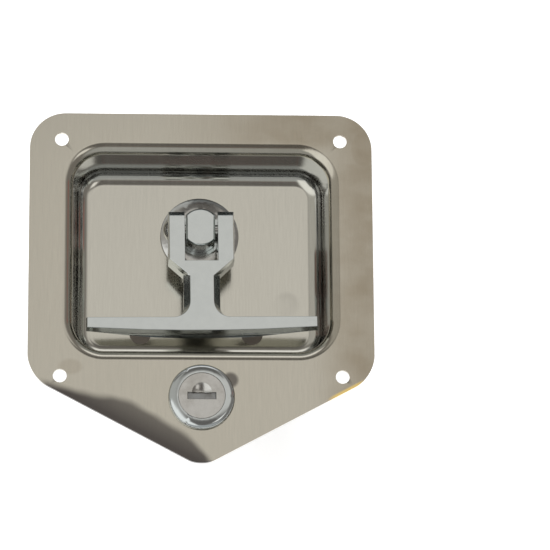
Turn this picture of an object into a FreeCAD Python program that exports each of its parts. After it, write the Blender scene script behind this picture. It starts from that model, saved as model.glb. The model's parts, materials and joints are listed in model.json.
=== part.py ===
import FreeCAD, Part
import math
import os

# Flush recessed latch with a folding T-handle and a wafer cylinder lock.
# Millimetres. X to the right seen from the front, Y back into the door, Z up.
# The origin is the centre of the four fixing holes on the back face of the flange.

# Pressed pan: flange
sheet = 1.5
flange_half_width = 60.325
flange_top = 52.3
flange_shoulder = -42.6
flange_slope_deg = 28.0
flange_corner_radius = 12.7
flange_tip_radius = 10.0
flange_edge_break = 0.5
fixing_edge_x = 11.225
fixing_spacing_z = 85.4
fixing_hole_diameter = 4.8

# Pressed pan: dish, given by its wall lines on the flange front
dish_depth = 21.0
dish_draft_deg = 6.5
mouth_half_width = 45.35
mouth_top = 38.4
mouth_bottom = -33.6
mouth_corner_radius = 11.4
bend_radius = 4.0
floor_fillet = 5.0
weep_hole_diameter = 7.7
weep_hole_pitch = 39.6
weep_hole_offset_x = -1.2
weep_hole_z = -22.6

# Spindle and what it turns in
spindle_z = 13.1
head_diameter = 13.7
head_across_flats = 10.4
head_front_depth = 7.5
head_edge_chamfer = 0.6
collar_diameter = 16.0
collar_thickness = 1.5
journal_diameter = 12.0
shank_square = 8.0
shank_corner_chamfer = 0.8
cam_square = 6.4
bore_clearance = 0.05
end_play = 0.1
escutcheon_diameter = 27.9
escutcheon_height = 1.7
escutcheon_rim = 0.5
gasket_thickness = 0.5
gasket_diameter = 26.0
bush_barrel_diameter = 16.0
bush_flange_diameter = 24.0
bush_flange_thickness = 1.5
thrust_washer_diameter = 20.0
thrust_washer_thickness = 1.0
stop_stud_diameter = 6.0
stop_stud_circle = 17.0
stop_gap = 0.4
turn_angle_deg = 90.0

# Fittings behind the pan
lever_thickness = 2.0
lever_hub_radius = 10.0
lever_half_width = 6.0
lever_crank_start_z = -17.0
lever_tip_bottom_z = -38.0
lever_tip_inner_x = 5.5
lever_tip_outer_x = 14.5
spring_washer_diameter = 18.0
spring_washer_sheet = 0.4
spring_washer_height = 2.0
back_washer_diameter = 20.0
back_washer_thickness = 1.4
roll_pin_diameter = 3.0
roll_pin_wall = 0.6
roll_pin_slit = 0.6
roll_pin_length = 15.0
cam_face_depth = 46.0
cam_thickness = 3.0
cam_hub_radius = 11.0
cam_reach = 54.0
cam_tip_half_width = 7.5
cam_washer_diameter = 14.0
cam_washer_thickness = 1.2
cam_screw_diameter = 5.0
cam_screw_head_diameter = 9.5
cam_screw_head_height = 2.8
cam_screw_end_gap = 6.0
cam_screw_socket = 3.0

# T-handle, one casting
pin_depth = 12.5
pin_diameter = 4.0
pin_head_diameter = 7.2
pin_head_height = 1.6
fork_half_width = 11.6
fork_gap_half = 5.8
fork_end_radius = 3.9
fork_end_bevel = 1.8
fork_shoulder_z = -0.4
crotch_z = -1.05
neck_half_width = 6.4
neck_face_half_width = 4.1
neck_top_z = -5.8
neck_back = 7.0
flare_reach = 10.0
bevel_depth = 3.0
edge_bevel = 0.4
grip_half_length = 40.5
grip_top = -21.0
grip_bottom = -26.9
grip_face_rise = 0.7
grip_bow = 1.2
grip_depth_middle = 9.5
grip_depth_end = 6.3
grip_scoop_radius = 5.0
grip_scoop_depth = 0.9

# Cylinder lock
lock_z = -50.2
bezel_diameter = 23.1
bezel_height = 3.0
bezel_rim_diameter = 18.4
barrel_diameter = 19.05
barrel_across_flats = 16.6
barrel_length = 21.9
lock_hole_clearance = 0.1
plug_turn_deg = 90.0
cap_diameter = 16.2
cap_thickness = 0.9
cap_gap = 0.1
cap_dome_radius = 3.4
cap_dome_depth = 0.5
plug_head_thickness = 3.2
plug_diameter = 12.7
key_slot_width = 9.9
key_slot_height = 2.4
keyway_width = 8.4
keyway_length = 17.0
wafer_count = 5
wafer_pitch = 2.9
wafer_thickness = 1.0
wafer_first_depth = 2.2
wafer_half_height = 2.9
wafer_skirt = 1.6
wafer_window_half_width = 4.5
wafer_window_half_height = 1.4
wafer_travel = 0.9
wafer_side_gap = 0.05
groove_depth = 1.3
groove_half_width = 4.8
wafer_spring_diameter = 1.2
wafer_spring_wire = 0.28
wafer_spring_length = 3.4
wafer_spring_turns = 3
wafer_rib = 0.5
shutter_thickness = 0.4
shutter_edge_gap = 0.15
shutter_knuckle_diameter = 1.5
shutter_knuckle_length = 1.6
shutter_pin_diameter = 0.8
shutter_spring_wire = 0.25
shutter_spring_turns = 3
tail_square = 6.5
tail_screw_diameter = 6.0
stop_washer_diameter = 17.0
stop_washer_core_diameter = 13.2
stop_lug_half_width = 1.5
stop_lug_inner_radius = 7.0
stop_lug_outer_radius = 8.6
stop_lug_play_deg = 1.0
coil_runs = 12
lock_cam_reach = 18.0
lock_cam_half_width = 3.75
lock_cam_hub_diameter = 14.0
tail_washer_thickness = 1.0
tail_washer_diameter = 12.0
tail_nut_across_flats = 10.0
tail_nut_thickness = 3.5
star_washer_diameter = 24.0
star_washer_thickness = 0.8
star_washer_teeth = 16
lock_nut_across_flats = 22.2
lock_nut_thickness = 3.5

# Places that several pieces share
fixing_spacing_x = 2 * (flange_half_width - fixing_edge_x)
flange_front = -sheet
floor_front = flange_front + dish_depth
floor_back = floor_front + sheet
head_front = flange_front + head_front_depth
pin_y = flange_front + pin_depth
gasket_front = floor_front - gasket_thickness
escutcheon_front = gasket_front - escutcheon_height
collar_back = escutcheon_front - end_play
collar_front = collar_back - collar_thickness
bush_back = floor_back + bush_flange_thickness
thrust_back = bush_back + thrust_washer_thickness
lever_front = thrust_back + end_play
lever_back = lever_front + lever_thickness
spring_washer_back = lever_back + spring_washer_height
back_washer_back = spring_washer_back + back_washer_thickness
roll_pin_y = back_washer_back + roll_pin_diameter / 2
cam_screw_end = roll_pin_y + roll_pin_diameter / 2 + cam_screw_end_gap
cam_back = cam_face_depth + cam_thickness
cam_washer_back = cam_back + cam_washer_thickness
bezel_front = flange_front - bezel_height
plug_head_front = bezel_front + cap_thickness
plug_head_back = plug_head_front + plug_head_thickness
plug_back = barrel_length + end_play
wafer_bore = plug_diameter + 2 * bore_clearance


def vector(x, y, z):
    return FreeCAD.Vector(x, y, z)


def box(x0, x1, y0, y1, z0, z1):
    return Part.makeBox(x1 - x0, y1 - y0, z1 - z0, vector(x0, y0, z0))


def disc(diameter, y0, y1, x=0.0, z=0.0):
    return Part.makeCylinder(diameter / 2, y1 - y0, vector(x, y0, z), vector(0, 1, 0))


def rod_x(diameter, x0, x1, y, z):
    return Part.makeCylinder(diameter / 2, x1 - x0, vector(x0, y, z), vector(1, 0, 0))


def ring(outer, inner, y0, y1, x=0.0, z=0.0):
    return disc(outer, y0, y1, x, z).cut(disc(inner, y0 - 1, y1 + 1, x, z))


def square_bar(side, y0, y1, z):
    return box(-side / 2, side / 2, y0, y1, z - side / 2, z + side / 2)


def rounded_outline(corners, y):
    """A closed wire in the plane at y through (x, z, radius) corners, each rounded by an arc."""
    count = len(corners)
    entries = []
    exits = []
    middles = []
    for index, (x, z, radius) in enumerate(corners):
        corner = vector(x, y, z)
        before = corners[index - 1]
        after = corners[(index + 1) % count]
        back = (vector(before[0], y, before[1]) - corner).normalize()
        ahead = (vector(after[0], y, after[1]) - corner).normalize()
        half = back.getAngle(ahead) / 2
        reach = radius / math.tan(half)
        entries.append(corner + back * reach)
        exits.append(corner + ahead * reach)
        inward = (back + ahead).normalize()
        middles.append(corner + inward * (radius / math.sin(half) - radius))
    edges = []
    for index in range(count):
        following = (index + 1) % count
        if corners[index][2] > 0:
            edges.append(Part.Arc(entries[index], middles[index], exits[index]).toShape())
        if exits[index].distanceToPoint(entries[following]) > 1e-6:
            edges.append(Part.makeLine(exits[index], entries[following]))
    return Part.Wire(edges)


def plate(corners, y0, y1):
    return Part.Face(rounded_outline(corners, y0)).extrude(vector(0, y1 - y0, 0))


def turned(profile, x, z):
    """A solid of revolution about a line along Y through (x, z), from (radius, y) points."""
    points = [vector(x + radius, y, z) for radius, y in profile]
    face = Part.Face(Part.makePolygon(points + points[:1]))
    return face.revolve(vector(x, 0, z), vector(0, 1, 0), 360)


def hexagon(across_flats, y0, y1, z):
    """A hexagonal prism along Y with two of its flats facing up and down."""
    corner_radius = across_flats / math.sqrt(3)
    points = []
    for step in range(6):
        angle = math.radians(60 * step)
        points.append(vector(corner_radius * math.cos(angle), y0, z + corner_radius * math.sin(angle)))
    return Part.Face(Part.makePolygon(points + points[:1])).extrude(vector(0, y1 - y0, 0))


def coil(diameter, wire, length, turns, start):
    """A coil spring of square wire along +X from the point start, each turn in straight runs."""
    radius = (diameter - wire) / 2 / math.cos(math.pi / coil_runs)
    count = turns * coil_runs
    rise = (length - wire) / count
    points = []
    for step in range(count + 1):
        angle = 2 * math.pi * step / coil_runs
        points.append(vector(radius * math.cos(angle), radius * math.sin(angle), rise * step))
    path = Part.makePolygon(points)
    low = radius - wire / 2
    high = radius + wire / 2
    section = Part.makePolygon([vector(low, 0, -wire / 2), vector(high, 0, -wire / 2),
                                vector(high, 0, wire / 2), vector(low, 0, wire / 2),
                                vector(low, 0, -wire / 2)])
    spring = path.makePipeShell([section], True, False, 1)
    spring.rotate(vector(0, 0, 0), vector(0, 1, 0), 90)
    spring.translate(start + vector(wire / 2, 0, 0))
    return spring


def slopes(start, middle, end, count):
    """Straight edges between evenly spaced points of the arc through three points."""
    points = Part.Arc(start, middle, end).toShape().discretize(count + 1)
    return [Part.makeLine(first, second) for first, second in zip(points, points[1:])]


def loop_edges(solid, y, half_x, z_low, z_high):
    """The edges of a solid that lie flat in the plane at y inside a window of X and Z."""
    found = []
    for edge in solid.Edges:
        bounds = edge.BoundBox
        flat = abs(bounds.YMin - y) < 1e-4 and abs(bounds.YMax - y) < 1e-4
        inside = max(-bounds.XMin, bounds.XMax) < half_x and bounds.ZMin > z_low and bounds.ZMax < z_high
        if flat and inside:
            found.append(edge)
    return found


def export(name, solid):
    solid.exportStep(os.path.join("parts", name + ".step"))


def flange_corners():
    """Pentagon of the flange: square above, pointed below round the lock."""
    tip_z = flange_shoulder - flange_half_width * math.tan(math.radians(flange_slope_deg))
    return [
        (-flange_half_width, flange_top, flange_corner_radius),
        (flange_half_width, flange_top, flange_corner_radius),
        (flange_half_width, flange_shoulder, flange_corner_radius),
        (0.0, tip_z, flange_tip_radius),
        (-flange_half_width, flange_shoulder, flange_corner_radius),
    ]


def dish_body(depth, growth, fillet):
    """The drafted dish from the flange front to a depth, grown outwards, with a rounded floor edge."""
    taper = depth * math.tan(math.radians(dish_draft_deg))
    half = mouth_half_width + growth
    top = mouth_top + growth
    bottom = mouth_bottom - growth
    radius = mouth_corner_radius + growth
    back = flange_front + depth
    body = Part.makeWedge(-half, flange_front, bottom, bottom + taper, -half + taper,
                          half, back, top, top - taper, half - taper)
    cone = Part.makeCone(radius, radius - taper, depth, vector(0, flange_front, 0), vector(0, 1, 0))
    for side in (-1, 1):
        for z, lift in ((top - radius, 1), (bottom + radius, -1)):
            x = side * (half - radius)
            corner = box(min(x, x + side * 2 * radius), max(x, x + side * 2 * radius), flange_front, back,
                         min(z, z + lift * 2 * radius), max(z, z + lift * 2 * radius))
            rounding = cone.copy()
            rounding.translate(vector(x, 0, z))
            body = body.cut(corner.cut(rounding))
    rim = loop_edges(body, back, flange_half_width, flange_shoulder, flange_top)
    return body.makeFillet(fillet, rim)


def barrel_section(clearance, y0, y1):
    """Round barrel with a flat on each side, or the hole that takes it."""
    half = barrel_across_flats / 2 + clearance
    round_bar = disc(barrel_diameter + 2 * clearance, y0, y1, 0, lock_z)
    return round_bar.common(box(-half, half, y0, y1, lock_z - barrel_diameter, lock_z + barrel_diameter))


def make_pan():
    window = (flange_half_width - 1, flange_shoulder + 1, flange_top - 1)
    pan = plate(flange_corners(), flange_front, 0.0)
    wall = sheet / math.cos(math.radians(dish_draft_deg))
    pan = pan.fuse(dish_body(dish_depth + sheet, wall, floor_fillet + sheet)).removeSplitter()
    pan = pan.makeFillet(bend_radius - sheet, loop_edges(pan, 0.0, *window))
    pan = pan.cut(dish_body(dish_depth, 0.0, floor_fillet))
    pan = pan.makeFillet(bend_radius, loop_edges(pan, flange_front, *window))
    rim = [edge for edge in pan.Edges if edge.BoundBox.YMax < flange_front + 1e-4
           and (edge.BoundBox.XMax > mouth_half_width + 6 or edge.BoundBox.XMin < -mouth_half_width - 6
                or edge.BoundBox.ZMax > mouth_top + 6 or edge.BoundBox.ZMin < mouth_bottom - 6)]
    pan = pan.makeChamfer(flange_edge_break, rim)
    for side in (-1, 1):
        for end in (-1, 1):
            pan = pan.cut(disc(fixing_hole_diameter, flange_front - 1, 1, side * fixing_spacing_x / 2,
                               end * fixing_spacing_z / 2))
        pan = pan.cut(disc(weep_hole_diameter, floor_front - 1, floor_back + 1,
                           weep_hole_offset_x + side * weep_hole_pitch / 2, weep_hole_z))
    pan = pan.cut(disc(bush_barrel_diameter, floor_front - 1, floor_back + 1, 0, spindle_z))
    return pan.cut(barrel_section(lock_hole_clearance, flange_front - 1, 1))


def make_escutcheon():
    """Low domed disc round the spindle, with a bead at its rim."""
    radius = escutcheon_diameter / 2
    bore = journal_diameter / 2 + 2 * bore_clearance
    seat = collar_diameter / 2 + 0.4
    rim_y = gasket_front - escutcheon_rim
    crown_y = (rim_y + escutcheon_front) / 2 - 0.25
    dome = Part.Wire([
        Part.makeLine(vector(bore, gasket_front, 0), vector(radius, gasket_front, 0)),
        Part.makeLine(vector(radius, gasket_front, 0), vector(radius, rim_y, 0)),
        *slopes(vector(radius, rim_y, 0), vector((radius + seat) / 2 + 0.4, crown_y, 0),
                vector(seat, escutcheon_front, 0), 4),
        Part.makeLine(vector(seat, escutcheon_front, 0), vector(bore, escutcheon_front, 0)),
        Part.makeLine(vector(bore, escutcheon_front, 0), vector(bore, gasket_front, 0)),
    ])
    solid = Part.Face(dome).revolve(vector(0, 0, 0), vector(0, 1, 0), 360)
    solid.translate(vector(0, 0, spindle_z))
    return solid


def make_spindle_gasket():
    bore = journal_diameter + 4 * bore_clearance
    return ring(gasket_diameter, bore, gasket_front, floor_front, 0, spindle_z)


def make_spindle_bush():
    bush = disc(bush_barrel_diameter, floor_front, floor_back, 0, spindle_z)
    bush = bush.fuse(disc(bush_flange_diameter, floor_back, bush_back, 0, spindle_z)).removeSplitter()
    return bush.cut(disc(journal_diameter + 2 * bore_clearance, floor_front - 1, bush_back + 1, 0, spindle_z))


def make_thrust_washer():
    return ring(thrust_washer_diameter, journal_diameter + 4 * bore_clearance, bush_back, thrust_back,
                0, spindle_z)


def make_stop_studs():
    """Two studs on the back of the dish that the lock lever meets at the ends of its turn."""
    offset = lever_half_width + stop_gap + stop_stud_diameter / 2
    lead = math.degrees(math.asin(offset / stop_stud_circle))
    studs = []
    for angle_deg in (270.0 + lead, 270.0 - turn_angle_deg - lead):
        angle = math.radians(angle_deg)
        studs.append(disc(stop_stud_diameter, floor_back, lever_back, stop_stud_circle * math.cos(angle),
                          spindle_z + stop_stud_circle * math.sin(angle)))
    return Part.makeCompound(studs)


def make_spindle():
    head = disc(head_diameter, head_front, collar_front, 0, spindle_z)
    half = head_across_flats / 2
    head = head.common(box(-half, half, head_front, collar_front, spindle_z - head_diameter,
                           spindle_z + head_diameter))
    head = head.makeChamfer(head_edge_chamfer,
                            [edge for edge in head.Edges if edge.BoundBox.YMax < head_front + 1e-4])
    spindle = head.fuse(disc(collar_diameter, collar_front, collar_back, 0, spindle_z))
    spindle = spindle.fuse(disc(journal_diameter, collar_back, lever_front, 0, spindle_z))
    shank = square_bar(shank_square, lever_front, cam_face_depth, spindle_z)
    shank = shank.makeChamfer(shank_corner_chamfer, [
        edge for edge in shank.Edges if edge.BoundBox.YLength > shank_square + 1])
    spindle = spindle.fuse(shank)
    spindle = spindle.fuse(square_bar(cam_square, cam_face_depth, cam_back, spindle_z)).removeSplitter()
    spindle = spindle.cut(rod_x(pin_diameter + 2 * bore_clearance, -head_diameter, head_diameter,
                                pin_y, spindle_z))
    spindle = spindle.cut(rod_x(roll_pin_diameter, -shank_square, shank_square, roll_pin_y, spindle_z))
    return spindle.cut(disc(cam_screw_diameter, cam_screw_end - 1, cam_back + 1,
                            0, spindle_z))


def make_lock_lever():
    """Blocking lever on the spindle square, its foot cranked aside to pass beside the lock cam."""
    crank = lever_tip_outer_x - lever_half_width
    lever = plate([
        (-lever_half_width, spindle_z, 0.0),
        (lever_half_width, spindle_z, 0.0),
        (lever_half_width, lever_crank_start_z, 6.0),
        (lever_tip_outer_x, lever_crank_start_z - crank, 6.0),
        (lever_tip_outer_x, lever_tip_bottom_z, 2.0),
        (lever_tip_inner_x, lever_tip_bottom_z, 2.0),
        (lever_tip_inner_x, lever_crank_start_z - crank - 2.0, 4.0),
        (-lever_half_width, lever_crank_start_z - 2.0, 4.0),
    ], lever_front, lever_back)
    lever = lever.fuse(disc(2 * lever_hub_radius, lever_front, lever_back, 0, spindle_z)).removeSplitter()
    hole = square_bar(shank_square, lever_front - 1, lever_back + 1, spindle_z)
    hole = hole.makeChamfer(shank_corner_chamfer, [
        edge for edge in hole.Edges if edge.BoundBox.YLength > lever_thickness + 1])
    return lever.cut(hole)


def make_spring_washer():
    """A washer bent round a line along Z, so that it bears on its two sides and on its crown."""
    radius = spring_washer_diameter / 2
    rise = spring_washer_height - spring_washer_sheet
    bend = (radius * radius + rise * rise) / (2 * rise)
    blank = ring(spring_washer_diameter, shank_square * math.sqrt(2), lever_back - 1,
                 spring_washer_back + 1, 0, spindle_z)
    centre = vector(0, spring_washer_back - bend - spring_washer_sheet, spindle_z - radius - 1)
    height = spring_washer_diameter + 2
    shell = Part.makeCylinder(bend + spring_washer_sheet, height, centre, vector(0, 0, 1))
    shell = shell.cut(Part.makeCylinder(bend, height, centre, vector(0, 0, 1)))
    return blank.common(shell)


def make_back_washer():
    return ring(back_washer_diameter, shank_square * math.sqrt(2), spring_washer_back, back_washer_back,
                0, spindle_z)


def make_roll_pin():
    """Rolled spring pin with its slit to the back."""
    half = roll_pin_length / 2
    pin = rod_x(roll_pin_diameter, -half, half, roll_pin_y, spindle_z)
    pin = pin.cut(rod_x(roll_pin_diameter - 2 * roll_pin_wall, -half - 1, half + 1, roll_pin_y, spindle_z))
    slit = roll_pin_slit / 2
    return pin.cut(box(-half - 1, half + 1, roll_pin_y, roll_pin_y + roll_pin_diameter,
                       spindle_z - slit, spindle_z + slit))


def make_latch_cam():
    """Flat cam that reaches behind the door frame, tapered to a round end."""
    cam = plate([
        (0.0, spindle_z + cam_hub_radius, 0.0),
        (cam_reach, spindle_z + cam_tip_half_width, cam_tip_half_width - 0.5),
        (cam_reach, spindle_z - cam_tip_half_width, cam_tip_half_width - 0.5),
        (0.0, spindle_z - cam_hub_radius, 0.0),
    ], cam_face_depth, cam_back)
    cam = cam.fuse(disc(2 * cam_hub_radius, cam_face_depth, cam_back, 0, spindle_z)).removeSplitter()
    return cam.cut(square_bar(cam_square, cam_face_depth - 1, cam_back + 1, spindle_z))


def make_cam_washer():
    return ring(cam_washer_diameter, cam_screw_diameter + 0.2, cam_back, cam_washer_back, 0, spindle_z)


def make_cam_screw():
    """Button-head screw with a hexagon socket."""
    head_back = cam_washer_back + cam_screw_head_height
    radius = cam_screw_head_diameter / 2
    screw = turned([
        (0.0, cam_screw_end),
        (cam_screw_diameter / 2, cam_screw_end),
        (cam_screw_diameter / 2, cam_washer_back),
        (radius, cam_washer_back),
        (radius, cam_washer_back + 0.4 * cam_screw_head_height),
        (0.75 * radius, cam_washer_back + 0.85 * cam_screw_head_height),
        (0.5 * radius, head_back),
        (0.0, head_back),
    ], 0.0, spindle_z)
    return screw.cut(hexagon(cam_screw_socket, head_back - 0.6 * cam_screw_head_height, head_back + 1,
                             spindle_z))


def handle_outline(y, bevel, neck_half, bottom_rise):
    """Front outline of the casting in the plane at y: fork above, waisted neck, bowed grip below."""
    arm = fork_half_width - bevel
    top = spindle_z + fork_end_radius
    grip = grip_half_length - bevel
    upper = grip_top - bevel
    flare = flare_reach - neck_half
    lower = grip_bottom + bottom_rise
    neck_top = neck_top_z - (neck_half_width - neck_half) / 3
    slant = flare * (1 - math.sqrt(0.5))
    edges = []
    for side in (1, -1):
        steps = [
            (fork_gap_half, top),
            (arm, top),
            (arm, fork_shoulder_z),
            (neck_half, neck_top),
            (neck_half, upper + flare),
        ]
        points = [vector(side * x, y, z) for x, z in steps]
        for start, end in zip(points, points[1:]):
            edges.append(Part.makeLine(start, end))
        flare_end = vector(side * flare_reach, y, upper)
        edges.append(Part.Arc(points[-1], vector(side * (neck_half + slant), y, upper + slant),
                              flare_end).toShape())
        grip_end = vector(side * grip, y, upper)
        edges.append(Part.makeLine(flare_end, grip_end))
        edges.append(Part.makeLine(grip_end, vector(side * grip, y, lower + grip_bow)))
        edges.append(Part.makeLine(vector(side * fork_gap_half, y, top),
                                   vector(side * fork_gap_half, y, crotch_z)))
    edges.append(Part.Arc(vector(grip, y, lower + grip_bow), vector(0, y, lower),
                          vector(-grip, y, lower + grip_bow)).toShape())
    edges.append(Part.makeLine(vector(-fork_gap_half, y, crotch_z), vector(fork_gap_half, y, crotch_z)))
    return Part.Wire(Part.__sortEdges__(edges))


def handle_side():
    """Side outline of the casting: round fork ends about the pin, a thinner neck, the grip below."""
    front = flange_front
    back = pin_y + fork_end_radius
    top = spindle_z + fork_end_radius
    low = grip_bottom - 2
    turn = fork_end_radius * math.sqrt(0.5)
    points = [
        vector(0, back, spindle_z - 1.5),
        vector(0, neck_back + 1.5, neck_top_z + 3.5),
        vector(0, neck_back, neck_top_z),
        vector(0, neck_back, grip_top + 3.0),
        vector(0, front + grip_depth_middle, grip_top),
        vector(0, front + grip_depth_middle, low),
        vector(0, front, low),
        vector(0, front, top - fork_end_bevel),
        vector(0, front + fork_end_bevel, top),
        vector(0, pin_y, top),
    ]
    edges = [Part.makeLine(start, end) for start, end in zip(points, points[1:])]
    edges.append(Part.Arc(points[-1], vector(0, pin_y + turn, spindle_z + turn),
                          vector(0, back, spindle_z)).toShape())
    edges.append(Part.makeLine(vector(0, back, spindle_z), points[0]))
    face = Part.Face(Part.Wire(edges))
    face.translate(vector(-grip_half_length - 1, 0, 0))
    return face.extrude(vector(2 * grip_half_length + 2, 0, 0))


def grip_back_cutter():
    """What is taken off behind the grip, so that it is deepest in the middle."""
    reach = grip_half_length + 2
    end_y = flange_front + grip_depth_end
    middle_y = flange_front + grip_depth_middle
    z = grip_bottom - 3
    far = middle_y + 10
    edges = [
        Part.Arc(vector(-reach, end_y, z), vector(0, middle_y, z), vector(reach, end_y, z)).toShape(),
        Part.makeLine(vector(reach, end_y, z), vector(reach, far, z)),
        Part.makeLine(vector(reach, far, z), vector(-reach, far, z)),
        Part.makeLine(vector(-reach, far, z), vector(-reach, end_y, z)),
    ]
    return Part.Face(Part.Wire(edges)).extrude(vector(0, 0, grip_top + 3.0 - z))


def grip_scoop():
    """Finger hollow along the bowed underside of the grip."""
    bow_radius = (grip_half_length ** 2 + grip_bow ** 2) / (2 * grip_bow)
    axis_z = grip_bottom + bow_radius
    centre_y = flange_front + bevel_depth + grip_scoop_radius * 0.62
    centre_z = grip_bottom + grip_scoop_depth - grip_scoop_radius
    circle = Part.makeCircle(grip_scoop_radius, vector(0, centre_y, centre_z), vector(1, 0, 0))
    face = Part.Face(Part.Wire(circle))
    spread = math.degrees(math.asin(grip_half_length / bow_radius)) + 0.5
    face.rotate(vector(0, 0, axis_z), vector(0, 1, 0), -spread)
    return face.revolve(vector(0, 0, axis_z), vector(0, 1, 0), 2 * spread)


def make_t_handle():
    front_wire = handle_outline(flange_front, edge_bevel, neck_face_half_width, grip_face_rise)
    base_wire = handle_outline(flange_front + bevel_depth, 0.0, neck_half_width, 0.0)
    body = Part.makeLoft([front_wire, base_wire], True, True)
    body = body.fuse(Part.Face(base_wire).extrude(vector(0, pin_y + fork_end_radius, 0))).removeSplitter()
    body = body.common(handle_side())
    body = body.cut(grip_back_cutter())
    body = body.cut(grip_scoop())
    return body.cut(rod_x(pin_diameter, -fork_half_width - 1, fork_half_width + 1, pin_y, spindle_z))


def make_hinge_pin():
    """Plain pin with a low domed head against the left arm."""
    pin = rod_x(pin_diameter, -fork_half_width, fork_half_width, pin_y, spindle_z)
    radius = pin_head_diameter / 2
    ball = (radius ** 2 + pin_head_height ** 2) / (2 * pin_head_height)
    dome = Part.makeSphere(ball, vector(-fork_half_width - pin_head_height + ball, pin_y, spindle_z))
    outside = rod_x(2 * pin_head_diameter, -fork_half_width - ball, -fork_half_width, pin_y, spindle_z)
    dome = dome.common(outside)
    return pin.fuse(dome).removeSplitter()


def make_lock_housing():
    """Threaded barrel with a domed bezel, a recess for the plug head and grooves for the wafers."""
    bezel_radius = bezel_diameter / 2
    rim_radius = bezel_rim_diameter / 2
    recess = cap_diameter / 2 + cap_gap
    outline = Part.Wire([
        Part.makeLine(vector(0, flange_front, 0), vector(bezel_radius, flange_front, 0)),
        Part.makeLine(vector(bezel_radius, flange_front, 0), vector(bezel_radius, flange_front - 0.7, 0)),
        *slopes(vector(bezel_radius, flange_front - 0.7, 0),
                vector(rim_radius + 0.68 * (bezel_radius - rim_radius), bezel_front + 0.72, 0),
                vector(rim_radius, bezel_front, 0), 5),
        Part.makeLine(vector(rim_radius, bezel_front, 0), vector(0, bezel_front, 0)),
        Part.makeLine(vector(0, bezel_front, 0), vector(0, flange_front, 0)),
    ])
    housing = Part.Face(outline).revolve(vector(0, 0, 0), vector(0, 1, 0), 360)
    housing.translate(vector(0, 0, lock_z))
    housing = housing.fuse(barrel_section(0.0, flange_front, barrel_length)).removeSplitter()
    housing = housing.cut(disc(2 * recess, bezel_front - 1, plug_head_back + end_play, 0, lock_z))
    housing = housing.cut(disc(wafer_bore, bezel_front, barrel_length + 1, 0, lock_z))
    reach = plug_diameter / 2 + groove_depth
    groove_end = wafer_first_depth + wafer_pitch * wafer_count
    grooves = box(-reach, reach, wafer_first_depth - 1, groove_end, lock_z - groove_half_width,
                  lock_z + groove_half_width)
    grooves = grooves.fuse(box(-groove_half_width, groove_half_width, wafer_first_depth - 1, groove_end,
                               lock_z - reach, lock_z + reach))
    grooves = grooves.common(disc(2 * reach, wafer_first_depth - 1, groove_end, 0, lock_z))
    lug = box(-stop_lug_half_width, stop_lug_half_width, barrel_length - 0.5, lever_front - 2 * end_play,
              lock_z - stop_lug_outer_radius, lock_z - stop_lug_inner_radius)
    return housing.cut(grooves).fuse(lug).removeSplitter()


def make_star_washer():
    """Toothed lock washer under the barrel nut."""
    inner = barrel_diameter + 2 * lock_hole_clearance
    washer = ring(star_washer_diameter - 2.0, inner, 0.0, star_washer_thickness, 0, lock_z)
    pitch = 360.0 / star_washer_teeth
    tip = star_washer_diameter / 2
    tooth = box(tip - 1.6, tip, 0.0, star_washer_thickness, -1.2, 1.2)
    for step in range(star_washer_teeth):
        turned_tooth = tooth.copy()
        turned_tooth.rotate(vector(0, 0, 0), vector(0, 1, 0), pitch * step)
        turned_tooth.translate(vector(0, 0, lock_z))
        washer = washer.fuse(turned_tooth)
    return washer.removeSplitter()


def make_lock_nut():
    back = star_washer_thickness + lock_nut_thickness
    nut = hexagon(lock_nut_across_flats, star_washer_thickness, back, lock_z)
    crown = Part.makeCone(lock_nut_across_flats / 2 + lock_nut_thickness, lock_nut_across_flats / 2 - 0.1,
                          lock_nut_thickness, vector(0, star_washer_thickness, lock_z), vector(0, 1, 0))
    return nut.common(crown).cut(disc(barrel_diameter, -1, back + 1, 0, lock_z))


def hinge_axis():
    """Place of the shutter's hinge, above the key slot and behind the cap."""
    y = plug_head_front + cap_gap + shutter_knuckle_diameter / 2
    return y, lock_z + (key_slot_height + shutter_knuckle_diameter) / 2 - 0.1


def make_plug():
    """Plug with a broad head, the keyway, one cross slot for each wafer and a squared tail."""
    hinge_y, hinge_z = hinge_axis()
    plug = disc(cap_diameter, plug_head_front, plug_head_back, 0, lock_z)
    plug = plug.fuse(disc(plug_diameter, plug_head_back, plug_back, 0, lock_z))
    tail_end = tail_nut_back() + 1.0
    tail = disc(tail_screw_diameter, plug_back, tail_end, 0, lock_z)
    tail = tail.fuse(square_bar(tail_square, plug_back, lever_back, lock_z))
    plug = plug.fuse(tail).removeSplitter()
    half = keyway_width / 2
    slot = key_slot_height / 2
    plug = plug.cut(box(-half, half, plug_head_front - 1, keyway_length, lock_z - slot, lock_z + slot))
    room = key_slot_width / 2 + shutter_edge_gap
    swing = hinge_z - lock_z + slot + 0.4
    plug = plug.cut(box(-room, room, plug_head_front - 1, hinge_y + swing, lock_z - slot - 0.3,
                        hinge_z + 0.9))
    plug = plug.cut(rod_x(shutter_pin_diameter, -room - 1.2, room + 1.2, hinge_y, hinge_z))
    for index in range(wafer_count):
        plug = plug.cut(wafer_slot(index))
    return plug


def wafer_place(index):
    return wafer_first_depth + wafer_pitch * index


def spring_line():
    """Height of the small springs in the skirt of the wafers."""
    return lock_z - wafer_half_height - wafer_skirt / 2


def wafer_slot(index):
    """Cross slot for one wafer, with the rib left standing that its spring pushes against."""
    front = wafer_place(index) - wafer_side_gap
    back = wafer_place(index) + wafer_thickness + wafer_side_gap
    low = lock_z - wafer_half_height - wafer_skirt - wafer_side_gap
    high = lock_z + wafer_half_height + wafer_side_gap
    slot = box(-plug_diameter, plug_diameter, front, back, low, high)
    rib_x = -wafer_spring_length / 2 - wafer_rib
    return slot.cut(box(rib_x, rib_x + wafer_rib, front - 1, back + 1, low - 1,
                        lock_z - wafer_half_height + wafer_side_gap))


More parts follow.
